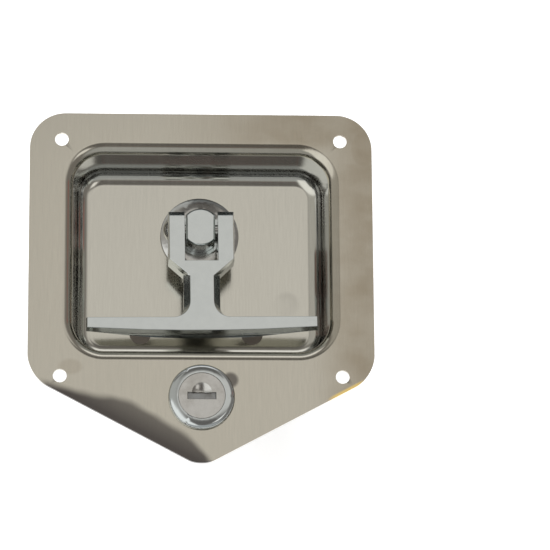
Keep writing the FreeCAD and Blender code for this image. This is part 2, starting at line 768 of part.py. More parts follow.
def make_wafer(index):
    """Sliding wafer: round ends at the shear line, a window for the key, a skirt notched for its spring."""
    front = wafer_place(index)
    back = front + wafer_thickness
    blank = disc(plug_diameter - 2 * wafer_side_gap, front, back, 0, lock_z)
    blank = blank.common(box(-plug_diameter, plug_diameter, front, back,
                             lock_z - wafer_half_height - wafer_skirt, lock_z + wafer_half_height))
    blank = blank.cut(box(-wafer_window_half_width, wafer_window_half_width, front - 1, back + 1,
                          lock_z - wafer_window_half_height, lock_z + wafer_window_half_height))
    notch_left = -wafer_spring_length / 2 - wafer_rib - wafer_travel - wafer_side_gap
    return blank.cut(box(notch_left, wafer_spring_length / 2, front - 1, back + 1,
                         lock_z - plug_diameter, lock_z - wafer_half_height + wafer_side_gap))


def make_wafer_springs():
    springs = []
    for index in range(wafer_count):
        middle = wafer_place(index) + wafer_thickness / 2
        start = vector(-wafer_spring_length / 2, middle, spring_line())
        springs.append(coil(wafer_spring_diameter - 0.3, wafer_spring_wire, wafer_spring_length,
                            wafer_spring_turns, start))
    return Part.makeCompound(springs)


def make_plug_cap():
    """Bright cap over the plug head, with the key slot and a half-round recess above it."""
    cap = disc(cap_diameter, bezel_front, plug_head_front, 0, lock_z)
    half = key_slot_width / 2
    slot = key_slot_height / 2
    recess = disc(2 * cap_dome_radius, bezel_front - 1, bezel_front + cap_dome_depth, 0, lock_z + slot)
    recess = recess.common(box(-half, half, bezel_front - 1, plug_head_front, lock_z + slot - 0.1,
                               lock_z + cap_diameter))
    cap = cap.cut(recess)
    return cap.cut(box(-half, half, bezel_front - 1, plug_head_front + 1, lock_z - slot, lock_z + slot))


def make_shutter():
    """Dust shutter behind the key slot, with a knuckle round its pin at each end."""
    hinge_y, hinge_z = hinge_axis()
    half = key_slot_width / 2 - shutter_edge_gap
    radius = shutter_knuckle_diameter / 2
    inner = half - shutter_knuckle_length
    front = hinge_y - radius + 0.05
    flap = box(-half, half, front, front + shutter_thickness, lock_z - key_slot_height / 2, hinge_z)
    flap = flap.cut(box(-inner, inner, front - 1, front + 1, hinge_z - radius - 0.1, hinge_z + 1))
    for left, right in ((-half, -inner), (inner, half)):
        flap = flap.fuse(rod_x(shutter_knuckle_diameter, left, right, hinge_y, hinge_z))
    bore = shutter_pin_diameter + 2 * bore_clearance
    return flap.removeSplitter().cut(rod_x(bore, -half - 1, half + 1, hinge_y, hinge_z))


def make_shutter_pin():
    hinge_y, hinge_z = hinge_axis()
    reach = key_slot_width / 2 + shutter_edge_gap + 1.2
    return rod_x(shutter_pin_diameter, -reach, reach, hinge_y, hinge_z)


def make_shutter_spring():
    hinge_y, hinge_z = hinge_axis()
    outer = shutter_pin_diameter + 2 * bore_clearance + 2 * shutter_spring_wire
    length = 3.0
    start = vector(-length / 2, hinge_y, hinge_z)
    return coil(outer, shutter_spring_wire, length, shutter_spring_turns, start)


def make_stop_washer():
    """Washer on the square tail, cut away so that the barrel's lug limits the plug to its turn."""
    washer = disc(stop_washer_diameter, plug_back, lever_front, 0, lock_z)
    lug_half_deg = math.degrees(math.atan2(stop_lug_half_width, stop_lug_inner_radius)) + stop_lug_play_deg
    sector = Part.makeCylinder(stop_washer_diameter, 4.0, vector(0, plug_back - 1, lock_z), vector(0, 1, 0),
                               plug_turn_deg + 2 * lug_half_deg)
    sector.rotate(vector(0, 0, lock_z), vector(0, 1, 0), 180.0 - plug_turn_deg - lug_half_deg)
    washer = washer.cut(sector.cut(disc(stop_washer_core_diameter, plug_back - 2, plug_back + 5, 0, lock_z)))
    return washer.cut(square_bar(tail_square, plug_back - 1, lever_front + 1, lock_z))


def make_lock_cam():
    """Short cam on the tail that stands in the way of the lever foot when locked."""
    cam = plate([
        (0.0, lock_z + lock_cam_half_width, 0.0),
        (-lock_cam_reach, lock_z + lock_cam_half_width, 2.0),
        (-lock_cam_reach, lock_z - lock_cam_half_width, 2.0),
        (0.0, lock_z - lock_cam_half_width, 0.0),
    ], lever_front, lever_back)
    cam = cam.fuse(disc(lock_cam_hub_diameter, lever_front, lever_back, 0, lock_z)).removeSplitter()
    return cam.cut(square_bar(tail_square, lever_front - 1, lever_back + 1, lock_z))


def make_tail_washer():
    return ring(tail_washer_diameter, tail_screw_diameter + 0.2, lever_back,
                lever_back + tail_washer_thickness, 0, lock_z)


def tail_nut_back():
    return lever_back + tail_washer_thickness + tail_nut_thickness


def make_tail_nut():
    nut = hexagon(tail_nut_across_flats, lever_back + tail_washer_thickness, tail_nut_back(), lock_z)
    return nut.cut(disc(tail_screw_diameter, lever_back, tail_nut_back() + 1, 0, lock_z))


os.makedirs("parts", exist_ok=True)
pieces = {
    "pan": make_pan(),
    "escutcheon": make_escutcheon(),
    "spindle_gasket": make_spindle_gasket(),
    "spindle_bush": make_spindle_bush(),
    "thrust_washer": make_thrust_washer(),
    "stop_studs": make_stop_studs(),
    "spindle": make_spindle(),
    "lock_lever": make_lock_lever(),
    "spring_washer": make_spring_washer(),
    "back_washer": make_back_washer(),
    "roll_pin": make_roll_pin(),
    "latch_cam": make_latch_cam(),
    "cam_washer": make_cam_washer(),
    "cam_screw": make_cam_screw(),
    "t_handle": make_t_handle(),
    "hinge_pin": make_hinge_pin(),
    "lock_housing": make_lock_housing(),
    "lock_star_washer": make_star_washer(),
    "lock_nut": make_lock_nut(),
    "plug": make_plug(),
    "plug_cap": make_plug_cap(),
    "shutter": make_shutter(),
    "shutter_pin": make_shutter_pin(),
    "shutter_spring": make_shutter_spring(),
    "stop_washer": make_stop_washer(),
    "lock_cam": make_lock_cam(),
    "tail_washer": make_tail_washer(),
    "tail_nut": make_tail_nut(),
    "wafer_springs": make_wafer_springs(),
}
for index in range(wafer_count):
    pieces["wafer_%d" % (index + 1)] = make_wafer(index)
for name, solid in pieces.items():
    print(name, "solids", len(solid.Solids), "valid", solid.isValid(), "volume", round(solid.Volume, 2))
    export(name, solid)
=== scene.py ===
import json
import math

import bpy
from mathutils import Euler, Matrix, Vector


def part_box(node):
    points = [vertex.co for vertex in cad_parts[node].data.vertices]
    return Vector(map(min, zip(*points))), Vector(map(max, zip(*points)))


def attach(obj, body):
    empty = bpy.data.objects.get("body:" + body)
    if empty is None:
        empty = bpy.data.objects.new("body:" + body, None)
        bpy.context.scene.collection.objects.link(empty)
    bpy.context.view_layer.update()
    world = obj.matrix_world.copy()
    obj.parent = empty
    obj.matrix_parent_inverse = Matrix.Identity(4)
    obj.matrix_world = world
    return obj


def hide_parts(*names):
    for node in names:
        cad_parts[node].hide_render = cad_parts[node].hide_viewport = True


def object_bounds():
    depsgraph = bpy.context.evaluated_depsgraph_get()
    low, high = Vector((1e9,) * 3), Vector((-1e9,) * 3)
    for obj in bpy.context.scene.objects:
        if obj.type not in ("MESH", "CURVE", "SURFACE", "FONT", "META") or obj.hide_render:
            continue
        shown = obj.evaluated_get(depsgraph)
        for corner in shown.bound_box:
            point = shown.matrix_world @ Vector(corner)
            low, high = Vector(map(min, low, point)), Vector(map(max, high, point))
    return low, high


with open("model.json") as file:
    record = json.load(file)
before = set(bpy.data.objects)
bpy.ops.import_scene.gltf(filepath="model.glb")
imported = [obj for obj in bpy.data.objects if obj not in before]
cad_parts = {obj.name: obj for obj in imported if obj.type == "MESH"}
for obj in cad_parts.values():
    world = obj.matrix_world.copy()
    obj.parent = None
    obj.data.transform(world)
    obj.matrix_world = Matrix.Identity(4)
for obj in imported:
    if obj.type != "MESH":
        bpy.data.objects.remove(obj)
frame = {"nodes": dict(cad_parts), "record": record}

bl_info = {
    "name": "Flush T-handle latch",
    "version": (1, 0, 0),
    "blender": (4, 5, 0),
    "location": "View3D > Sidebar > Latch",
    "description": "Dresses a recessed folding T-handle latch with a cylinder lock",
    "category": "Object",
}

CAD_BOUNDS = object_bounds()
MM = 0.001

# Nodes that have a piece modelled for them here, nodes with a dome that shades as one curve,
# and the node that hangs turned within its play
MODELLED = {"pan", "plug_cap"}
DOMED = {"lock_housing", "escutcheon"}
TURNED = {"t_handle"}

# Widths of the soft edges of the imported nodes, in millimetres
SOFT_EDGES = {"t_handle": 0.5, "spindle": 0.25, "escutcheon": 0.2, "lock_lever": 0.3, "latch_cam": 0.35,
              "lock_cam": 0.3, "lock_nut": 0.2, "hinge_pin": 0.1, "plug": 0.1}

# How finely the pan is drawn: straight steps in each bend, in the dish's corners, in the
# flange's upper corners and in its lower ones, and sides of a large and a small hole
BEND_STEPS = 12
DISH_CORNER_STEPS = 20
UPPER_CORNER_STEPS = 16
LOWER_CORNER_STEPS = 12
LARGE_HOLE_SIDES = 48
SMALL_HOLE_SIDES = 32

# How far a hole's cutter reaches in front of the sheet and behind its front face
CUTTER_FRONT = 1.0 * MM
CUTTER_BACK = 3.0 * MM

# The ring of flat floor that the dish's skin has beside its fillet
FLOOR_MARGIN = 0.4 * MM

# The share of its radius that the flat rim of the bezel keeps when it is drawn in
DOME_DRAW_IN = 0.93

# The soft edge of the plug's cap, and the gap between the latch and the backdrop
CAP_EDGE = 0.12 * MM
BACKDROP_GAP = 3.0 * MM

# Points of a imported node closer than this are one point
MERGE_DISTANCE = 0.002 * MM

# Edges of the pieces modelled here that turn by more than this are softened
EDGE_ANGLE = math.radians(50.0)
RIGHT_ANGLE = math.radians(90.0)

# Marks on the sheet, in metres from the frame's origin: middle across and up, reach both
# ways, and strength. The corner and hole marks are stains; the mark beside the bezel is its
# painted reflection, and the cloudy patch is a painted reflection on the floor
CORNER_STAIN = (0.0575, 0.0400, 0.0060, 0.0090, 0.70)
HOLE_STAIN = (-0.0455, -0.0395, 0.0045, 0.0030, 0.25)
# Painted reflection of the bezel, on the flange at the bezel's upper right
PAINTED_BEZEL_REFLECTION = (0.0100, -0.0440, 0.0030, 0.0030, 0.80)
# Painted cloudy reflection on the floor's right
PAINTED_CLOUDY_REFLECTION = (0.0310, -0.0120, 0.0050, 0.0050, 0.30)

# The record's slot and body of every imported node
NODE_SLOT = {entry["node"]: entry["material_slot"] for entry in frame["record"]["subparts"]}
NODE_BODY = {node: body for body, nodes in frame["record"]["behaviour"]["bodies"].items()
             for node in nodes}


def length(name, description, millimetres):
    """A property that holds a length, given in millimetres."""
    return bpy.props.FloatProperty(name=name, description=description,
                                   default=millimetres * MM, unit="LENGTH", precision=5)


def angle(name, description, degrees):
    """A property that holds an angle, given in degrees."""
    return bpy.props.FloatProperty(name=name, description=description,
                                   default=math.radians(degrees), unit="ROTATION")


class LatchSizes(bpy.types.PropertyGroup):
    """Sizes of the pressed pan, the lock's face and the hang of the handle."""
    sheet: length("Sheet", "Thickness of the pressed sheet", 1.5)
    mouth_half_width: length("Mouth half width", "From the middle to the side wall's line", 45.35)
    mouth_top: length("Mouth top", "Height of the upper wall's line", 38.4)
    mouth_bottom: length("Mouth bottom", "Height of the lower wall's line", -33.6)
    mouth_corner: length("Mouth corner", "Corner radius of the dish at the wall lines", 11.4)
    dish_depth: length("Dish depth", "From the flange's face to the floor", 21.0)
    bend: length("Bend", "Radius of the bend round the mouth of the dish", 4.0)
    floor_fillet: length("Floor fillet", "Radius between the walls and the floor", 5.0)
    flange_corner: length("Flange corner", "Radius of the flange's four corners", 12.7)
    flange_tip: length("Flange tip", "Radius of the flange's lower point", 10.0)
    shoulder: length("Shoulder", "Height at which the flange's sides turn to the point", -42.6)
    fixing_x: length("Fixing hole X", "Distance of the fixing holes from the middle", 49.1)
    fixing_z: length("Fixing hole Z", "Height of the fixing holes", 42.7)
    fixing_hole: length("Fixing hole", "Diameter of the fixing holes", 4.8)
    weep_hole: length("Weep hole", "Diameter of the two weep holes", 7.7)
    weep_middle: length("Weep middle", "Place of the middle between the weep holes", -1.2)
    weep_reach: length("Weep reach", "Distance of a weep hole from that middle", 19.8)
    weep_height: length("Weep height", "Height of the weep holes", -22.6)
    bush_hole: length("Bush hole", "Diameter of the hole for the spindle's bush", 16.1)
    lock_hole: length("Lock hole", "Diameter of the hole for the lock's barrel", 19.4)
    edge: length("Edge", "Soft edge of the sheet", 0.35)
    bezel_rim: length("Bezel rim", "Radius of the flat rim of the lock's bezel", 9.2)
    key_slot_width: length("Key slot width", "Width of the key slot", 9.9)
    key_slot_height: length("Key slot height", "Height of the key slot", 2.4)
    scoop_radius: length("Scoop radius", "Radius of the scoop above the key slot", 3.5)
    scoop_depth: length("Scoop depth", "Depth of the scoop above the key slot", 0.85)
    handle_turn: angle("Handle turn", "Play by which the handle hangs turned to the right", 0.6)
    draft: angle("Draft", "Lean of the dish walls", 6.5)
    flange_slope: angle("Flange slope", "Fall of the flange's lower edges towards the point", 28.0)


def colour(name, description, value):
    """A property that holds a colour."""
    return bpy.props.FloatVectorProperty(name=name, description=description, default=value,
                                         size=3, min=0.0, max=1.0, subtype="COLOR")


class LatchFinish(bpy.types.PropertyGroup):
    """Colours of the finishes, and of the painted dark reflection on the flange."""
    flange_steel: colour("Flange steel", "Satin stainless of the flange", (0.575, 0.54, 0.455))
    floor_steel: colour("Floor steel", "Satin stainless of the dish's floor", (0.62, 0.595, 0.52))
    drawn_steel: colour("Drawn steel", "Bright stainless where the dish was drawn", (0.565, 0.575, 0.575))
    stain: colour("Stain", "Brown handling stains on the sheet", (0.33, 0.27, 0.19))
    # Colour of the painted dark reflection along the flange's lower left edge and beside the bezel
    painted_dark_reflection: colour("Painted reflection", "Painted dark reflection along the lower left edge", (0.085, 0.075, 0.070))
    # Straw colour of a short stretch of the flange's lower right edge
    straw_edge: colour("Straw edge", "Straw-coloured edge at the lower right", (0.90, 0.66, 0.25))
    chrome: colour("Chrome", "Chrome plate on the castings", (0.635, 0.655, 0.635))
    zinc: colour("Zinc", "Zinc plate on the steel fittings", (0.55, 0.57, 0.58))


# The materials by slot, filled by make_materials
MATERIALS = {}


class Wire:
    """One shader value that Python arithmetic can be done on."""

    def __init__(self, board, socket):
        self.board = board
        self.socket = socket

    def __add__(self, other):
        return self.board.math("ADD", self, other)

    def __sub__(self, other):
        return self.board.math("SUBTRACT", self, other)

    def __mul__(self, other):
        return self.board.math("MULTIPLY", self, other)

    def __rsub__(self, other):
        return self.board.math("SUBTRACT", other, self)

    __radd__ = __add__
    __rmul__ = __mul__


class Board:
    """The node tree of one material, with its Principled shader."""

    def __init__(self, name):
        self.material = bpy.data.materials.new(name)
        self.material.use_nodes = True
        self.tree = self.material.node_tree
        self.shader = self.tree.nodes["Principled BSDF"]
        self.place = self.node("ShaderNodeTexCoord", {}, {}, "Object")

    def node(self, kind, settings, inputs, output=0):
        """Adds one node: its settings first, then the values or links of its sockets."""
        made = self.tree.nodes.new(kind)
        for name, value in settings.items():
            setattr(made, name, value)
        for name, value in inputs.items():
            if isinstance(value, Wire):
                self.tree.links.new(value.socket, made.inputs[name])
            else:
                made.inputs[name].default_value = value
        return Wire(self, made.outputs[output])

    def math(self, operation, first, second):
        """One Math node."""
        return self.node("ShaderNodeMath", {"operation": operation}, {0: first, 1: second})

    def ramp(self, value, low, high):
        """Smoothly from 0 at low to 1 at high."""
        return self.node("ShaderNodeMapRange", {"interpolation_type": "SMOOTHSTEP"},
                         {"Value": value, "From Min": low, "From Max": high})

    def parts(self):
        """The X, Y and Z of a point of the piece, in metres."""
        split = self.node("ShaderNodeSeparateXYZ", {}, {"Vector": self.place})
        node = split.socket.node
        return [Wire(self, node.outputs[index]) for index in range(3)]

    def scaled(self, scale):
        """Object coordinates stretched by a factor on each axis."""
        return self.node("ShaderNodeMapping", {}, {"Vector": self.place, "Scale": scale})

    def noise(self, scale, detail, stretch=(1.0, 1.0, 1.0)):
        """Noise over the piece, drawn out along an axis where stretch is small."""
        return self.node("ShaderNodeTexNoise", {},
                         {"Vector": self.scaled(stretch), "Scale": scale, "Detail": detail})

    def blend(self, factor, first, second):
        """Mixes two colours; a colour is three numbers or a link."""
        made = self.tree.nodes.new("ShaderNodeMix")
        made.data_type = "RGBA"
        for name, value in (("Factor_Float", factor), ("A_Color", first), ("B_Color", second)):
            socket = next(entry for entry in made.inputs if entry.identifier == name)
            if isinstance(value, Wire):
                self.tree.links.new(value.socket, socket)
            elif name == "Factor_Float":
                socket.default_value = value
            else:
                socket.default_value = (*value, 1.0)
        result = next(entry for entry in made.outputs if entry.identifier == "Result_Color")
        return Wire(self, result)

    def tinted(self, colour, factor):
        """A colour multiplied by one value."""
        return self.node("ShaderNodeVectorMath", {"operation": "SCALE"}, {0: colour, "Scale": factor})

    def set(self, name, value):
        """Feeds one socket of the shader."""
        if isinstance(value, Wire):
            self.tree.links.new(value.socket, self.shader.inputs[name])
        elif name == "Base Color":
            self.shader.inputs[name].default_value = (*value, 1.0)
        else:
            self.shader.inputs[name].default_value = value

    def bump(self, height, distance):
        """Feeds the shader's normal from a height field."""
        normal = self.node("ShaderNodeBump", {}, {"Height": height, "Distance": distance})
        self.set("Normal", normal)


def finish_of(scene, name):
    """One of the finish colours as three numbers."""
    return tuple(getattr(scene.latch_finish, name))


def spot(board, across, up, mark):
    """A soft oval mask: the mark's strength in its middle, 0 outside."""
    centre_x, centre_z, radius_x, radius_z, strength = mark
    side = (across - centre_x) * (1.0 / radius_x)
    height = (up - centre_z) * (1.0 / radius_z)
    return (1.0 - board.ramp(side * side + height * height, 0.35, 1.25)) * strength


def above_lower_edge(across, up, sizes, side):
    """Distance of a point from the flange's slanting edge: on the left with side 1, else the right."""
    run = across * side + CAD_BOUNDS[1].x
    return (up - sizes.shoulder + run * math.tan(sizes.flange_slope)) * math.cos(sizes.flange_slope)


def stain_mask(board, x, z, blotch):
    """Browner and darker towards the right and the upper right, with brown stains in the corner and beside a
    fixing hole.
    """
    # The flange turns browner and darker towards the right and the upper right
    right = board.ramp(x, 0.036, 0.057) * 0.62
    upper_right = board.ramp(x, -0.020, 0.040) * board.ramp(z, 0.034, 0.044) * 0.62
    stain = board.math("MAXIMUM", board.math("MAXIMUM", right, upper_right),
                       spot(board, x, z, CORNER_STAIN))
    uneven = board.ramp(blotch, 0.25, 0.75) * 0.5 + 0.72
    return board.math("MAXIMUM", stain * uneven, spot(board, x, z, HOLE_STAIN))


def painted_reflection_mask(board, x, z, cloud, sizes):
    """The painted dark reflection along the flange's lower left edge, and the bezel's painted reflection
    beside the bezel.
    """
    left_edge = above_lower_edge(x, z, sizes, 1.0)
    fade = board.ramp(x, -0.060, -0.024) * (1.0 - board.ramp(x, -0.010, 0.012) * 0.5)
    reach = fade * 0.0086 + (cloud - 0.5) * 0.006
    patch = (1.0 - board.ramp(left_edge - reach, -0.0022, 0.0008)) * board.ramp(fade, 0.0, 0.10)
    patch = patch * (1.0 - board.ramp(x + left_edge * 0.5, 0.002, 0.007))
    strength = board.math("MINIMUM", 1.0 - left_edge * 30.0, 0.96)
    return board.math("MAXIMUM", patch * strength, spot(board, x, z, PAINTED_BEZEL_REFLECTION))


def straw_edge_mask(board, x, z, sizes):
    """The straw-coloured stretch of the flange's lower right edge."""
    right_edge = above_lower_edge(x, z, sizes, -1.0)
    along = board.ramp(x, 0.043, 0.047) * (1.0 - board.ramp(x, 0.054, 0.058))
    return (1.0 - board.ramp(right_edge, 0.0004, 0.0013)) * along


def wall_shade(board, x, y, z, drawn, on_floor):
    """The share of light that is left at the feet of the upper and right walls and at the left lip."""
    foot = board.ramp(y, 0.0120, 0.0145) * (1.0 - on_floor)
    top_foot = board.ramp(z, 0.0290, 0.0325) * foot * 0.62
    right_foot = board.ramp(x, 0.0365, 0.0385) * foot * 0.5
    left_lip = (1.0 - board.ramp(x, -0.0465, -0.0440)) * drawn * (1.0 - board.ramp(y, 0.004, 0.009)) * 0.45
    return (1.0 - board.math("MAXIMUM", top_foot, right_foot)) * (1.0 - left_lip)


def sheet_material(scene):
    """Rolled stainless: satin on the flats, bright where the dish was drawn, browner towards the right,
    stained, and with painted reflections and painted shade.
    """
    sizes = scene.latch_sizes
    board = Board("pressed_stainless")
    x, y, z = board.parts()
    grain = board.noise(330.0, 4.0, (7.0, 1.0, 0.5))
    cloud = board.noise(34.0, 3.0)
    blotch = board.noise(75.0, 4.0, (1.0, 1.0, 1.6))
    on_flange = 1.0 - board.ramp(y, 0.0004, 0.0024)
    on_floor = board.ramp(y, 0.0165, 0.0190)
    drawn = 1.0 - board.math("MAXIMUM", on_flange, on_floor)

    steel = board.blend(on_floor, finish_of(scene, "flange_steel"), finish_of(scene, "floor_steel"))
    steel = board.blend(drawn, steel, finish_of(scene, "drawn_steel"))
    steel = board.blend(stain_mask(board, x, z, blotch) * on_flange, steel, finish_of(scene, "stain"))
    # Painted dark reflection along the lower left edge and beside the bezel
    steel = board.blend(painted_reflection_mask(board, x, z, cloud, sizes) * on_flange, steel,
                        finish_of(scene, "painted_dark_reflection"))
    steel = board.blend(straw_edge_mask(board, x, z, sizes) * on_flange, steel,
                        finish_of(scene, "straw_edge"))

    shade = (grain - 0.5) * 0.16 + (cloud - 0.5) * 0.10 + 1.0
    # Painted cloudy reflection, darker in patches on the right of the floor
    cloudy_reflection = spot(board, x, z, PAINTED_CLOUDY_REFLECTION) * on_floor * board.ramp(cloud, 0.3, 0.7)
    shade = shade * wall_shade(board, x, y, z, drawn, on_floor) * (1.0 - cloudy_reflection)
    board.set("Base Color", board.tinted(steel, shade))
    board.set("Metallic", 1.0)
    board.set("Roughness", (grain * 0.05 + cloud * 0.05 + 0.10) * (1.0 - drawn * 0.30))
    board.bump(grain * 0.6 + cloud * 0.4, 0.000008)
    return board.material


def chrome_material(scene):
    """Bright chrome plate with the slight waviness of a tumbled casting."""
    board = Board("chrome_casting")
    wave = board.noise(90.0, 2.0)
    mottle = board.noise(420.0, 3.0)
    colour = board.blend(mottle * 0.4, finish_of(scene, "chrome"), (0.50, 0.52, 0.505))
    board.set("Base Color", colour)
    board.set("Metallic", 1.0)
    board.set("Roughness", wave * 0.06 + mottle * 0.04 + 0.06)
    board.bump(wave, 0.00002)
    return board.material


def metal_material(name, colour, tint, rough, grain_scale, grain_depth):
    """A metal with mottled colour, uneven gloss and a fine grain."""
    board = Board(name)
    mottle = board.noise(grain_scale * 0.25, 4.0)
    grain = board.noise(grain_scale, 4.0)
    board.set("Base Color", board.blend(board.ramp(mottle, 0.35, 0.7), colour, tint))
    board.set("Metallic", 1.0)
    board.set("Roughness", grain * 0.10 + mottle * 0.08 + (rough - 0.09))
    board.bump(grain, grain_depth)
    return board.material


def rubber_material():
    """Black rubber with a fine grain."""
    board = Board("black_rubber")
    grain = board.noise(900.0, 3.0)
    board.set("Base Color", board.blend(grain, (0.02, 0.02, 0.02), (0.05, 0.05, 0.048)))
    board.set("Roughness", grain * 0.2 + 0.6)
    board.bump(grain, 0.00004)
    return board.material


def make_materials(scene):
    """The materials by slot, made once."""
    if MATERIALS:
        return MATERIALS
    zinc = finish_of(scene, "zinc")
    MATERIALS.update({
        "pressed_stainless": sheet_material(scene),
        "chrome_casting": chrome_material(scene),
        "polished_stainless": metal_material("polished_stainless", (0.58, 0.565, 0.53),
                                             (0.50, 0.48, 0.44), 0.18, 700.0, 0.00001),
        "zinc_steel": metal_material("zinc_steel", zinc, (0.45, 0.45, 0.43), 0.32, 500.0, 0.00003),
        "spring_steel": metal_material("spring_steel", (0.34, 0.34, 0.35), (0.22, 0.21, 0.20),
                                       0.35, 800.0, 0.00002),
        "dull_steel": metal_material("dull_steel", (0.42, 0.42, 0.41), (0.30, 0.29, 0.27),
                                     0.42, 900.0, 0.00002),
        "sintered_bronze": metal_material("sintered_bronze", (0.46, 0.31, 0.16),
                                          (0.30, 0.20, 0.11), 0.45, 1200.0, 0.00003),
        "lock_brass": metal_material("lock_brass", (0.68, 0.52, 0.26), (0.50, 0.36, 0.17),
                                     0.28, 700.0, 0.00002),
        "black_rubber": rubber_material(),
    })
    return MATERIALS


def deselect_all():
    """Leaves nothing selected."""
    for item in bpy.context.selected_objects:
        item.select_set(False)


def activate(piece):
    """Selects one piece alone and makes it the active one."""
    deselect_all()
    piece.select_set(True)
    bpy.context.view_layer.objects.active = piece


def finish_piece(piece, materials, slot, body, *nodes):
    """Gives a finished piece the material of its slot and its body, and hides the nodes that it stands for.
    """
    piece.data.materials.clear()
    piece.data.materials.append(materials[slot])
    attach(piece, body)
    if nodes:
        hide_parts(*nodes)


def apply_modifier(piece, kind, **settings):
    """Adds one modifier with its settings and applies it."""
    activate(piece)
    modifier = piece.modifiers.new(kind.lower(), kind)
    for name, value in settings.items():
        setattr(modifier, name, value)
    bpy.ops.object.modifier_apply(modifier=modifier.name)


def settle_normals(piece, angle_deg):
    """Smooth shading up to an angle, with the large faces kept flat."""
    activate(piece)
    bpy.ops.object.shade_smooth_by_angle(angle=math.radians(angle_deg))
    apply_modifier(piece, "WEIGHTED_NORMAL", mode="FACE_AREA", weight=50, keep_sharp=True)


def soft_copy(node, bevel):
    """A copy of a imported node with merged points, softened sharp edges and smooth shading."""
    source = frame["nodes"][node]
    piece = bpy.data.objects.new(node + "_soft", source.data.copy())
    bpy.context.scene.collection.objects.link(piece)
    activate(piece)
    bpy.ops.object.mode_set(mode="EDIT")
    bpy.ops.mesh.select_all(action="SELECT")
    bpy.ops.mesh.remove_doubles(threshold=MERGE_DISTANCE)
    bpy.ops.mesh.dissolve_limited(angle_limit=math.radians(1.0))
    bpy.ops.object.mode_set(mode="OBJECT")
    if bevel > 0:
        apply_modifier(piece, "BEVEL", width=bevel, segments=3, limit_method="ANGLE",
                       angle_limit=math.radians(32.0), use_clamp_overlap=True)
    if node in DOMED:
        activate(piece)
        bpy.ops.object.shade_smooth_by_angle(angle=math.radians(42.0))
    else:
        settle_normals(piece, 35.0)
    return piece


def turn_about(piece, turn, centre):
    """Turns a piece's mesh about an axis along Y."""
    activate(piece)
    bpy.ops.object.mode_set(mode="EDIT")
    bpy.ops.mesh.select_all(action="SELECT")
    bpy.ops.transform.rotate(value=turn, orient_axis="Y", center_override=centre)
    bpy.ops.object.mode_set(mode="OBJECT")


def middle_of(node):
    """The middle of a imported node's box."""
    low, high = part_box(node)
    return (low + high) / 2


def select_points(piece, chosen):
    """Selects the points of a mesh that a test on their place picks, and enters edit mode."""
    activate(piece)
    bpy.ops.object.mode_set(mode="EDIT")
    bpy.ops.mesh.select_mode(type="VERT")
    bpy.ops.mesh.select_all(action="DESELECT")
    bpy.ops.object.mode_set(mode="OBJECT")
    for point in piece.data.vertices:
        point.select = chosen(point.co)
    bpy.ops.object.mode_set(mode="EDIT")


def front_rectangle(name, half_width, bottom, top, y):
    """A rectangle that faces the front, with its place in its points."""
    deselect_all()
    bpy.ops.mesh.primitive_plane_add(size=2.0, rotation=(RIGHT_ANGLE, 0.0, 0.0))
    piece = bpy.context.object
    piece.name = name
    piece.data.name = name
    bpy.ops.object.transform_apply(location=True, rotation=True, scale=True)
    bpy.ops.object.mode_set(mode="EDIT")
    bpy.ops.transform.resize(value=(half_width, 1.0, (top - bottom) / 2), center_override=(0.0, 0.0, 0.0))
    bpy.ops.transform.translate(value=(0.0, y, (top + bottom) / 2))
    bpy.ops.object.mode_set(mode="OBJECT")
    return piece


def round_corners(piece, chosen, radius, inner_angle, segments):
    """Rounds the chosen corners of a flat outline."""
    select_points(piece, chosen)
    bpy.ops.mesh.bevel(offset_type="OFFSET", offset=radius / math.tan(inner_angle / 2),
                       segments=segments, affect="VERTICES", profile=0.5, clamp_overlap=False)
    bpy.ops.object.mode_set(mode="OBJECT")


def post(name, diameter, x, z, y0, y1, sides=LARGE_HOLE_SIDES):
    """A round bar along Y."""
    deselect_all()
    bpy.ops.mesh.primitive_cylinder_add(vertices=sides, radius=diameter / 2, depth=y1 - y0,
                                        location=(x, (y0 + y1) / 2, z),
                                        rotation=(RIGHT_ANGLE, 0.0, 0.0))
    piece = bpy.context.object
    piece.name = name
    bpy.ops.object.transform_apply(location=True, rotation=True, scale=True)
    return piece


def join(pieces):
    """Joins pieces into the first of them."""
    deselect_all()
    for piece in pieces:
        piece.select_set(True)
    bpy.context.view_layer.objects.active = pieces[0]
    bpy.ops.object.join()
    return pieces[0]


def cut_away(piece, cutters):
    """Cuts the cutters out of a piece and removes them."""
    cutter = join(cutters)
    apply_modifier(piece, "BOOLEAN", operation="DIFFERENCE", object=cutter, solver="EXACT")
    bpy.data.objects.remove(cutter, do_unlink=True)


def dish_steps(sizes):
    """Inward and backward steps from the flange to the floor: bend, leaning wall, floor fillet."""
    steep = RIGHT_ANGLE - sizes.draft
    angles = [steep * index / BEND_STEPS for index in range(BEND_STEPS + 1)]
    pairs = list(zip(angles, angles[1:]))
    turns = [(math.sin(b) - math.sin(a), math.cos(a) - math.cos(b)) for a, b in pairs]
    wall = sizes.dish_depth - (sizes.bend + sizes.floor_fillet) * (1 - math.sin(sizes.draft))
    steps = [(sizes.bend * inward, sizes.bend * back) for inward, back in turns]
    steps.append((wall * math.tan(sizes.draft), wall))
    steps += [(sizes.floor_fillet * inward, sizes.floor_fillet * back) for inward, back in reversed(turns)]
    return steps


def draw_dish(sizes, front):
    """The dish as a skin: the mouth's rounded outline, inset and pushed back step by step."""
    reach = sizes.bend * math.cos(sizes.draft) / (1 + math.sin(sizes.draft))
    dish = front_rectangle("pan_sheet", sizes.mouth_half_width + reach, sizes.mouth_bottom - reach,
                           sizes.mouth_top + reach, front)
    round_corners(dish, lambda place: True, sizes.mouth_corner + reach, RIGHT_ANGLE, DISH_CORNER_STEPS)
    activate(dish)
    bpy.ops.object.mode_set(mode="EDIT")
    bpy.ops.mesh.select_all(action="SELECT")
    for inward, back in dish_steps(sizes) + [(FLOOR_MARGIN, 0.0)]:
        bpy.ops.mesh.inset(thickness=inward, depth=-back, use_even_offset=True, use_boundary=True)
    bpy.ops.object.mode_set(mode="OBJECT")
    return dish


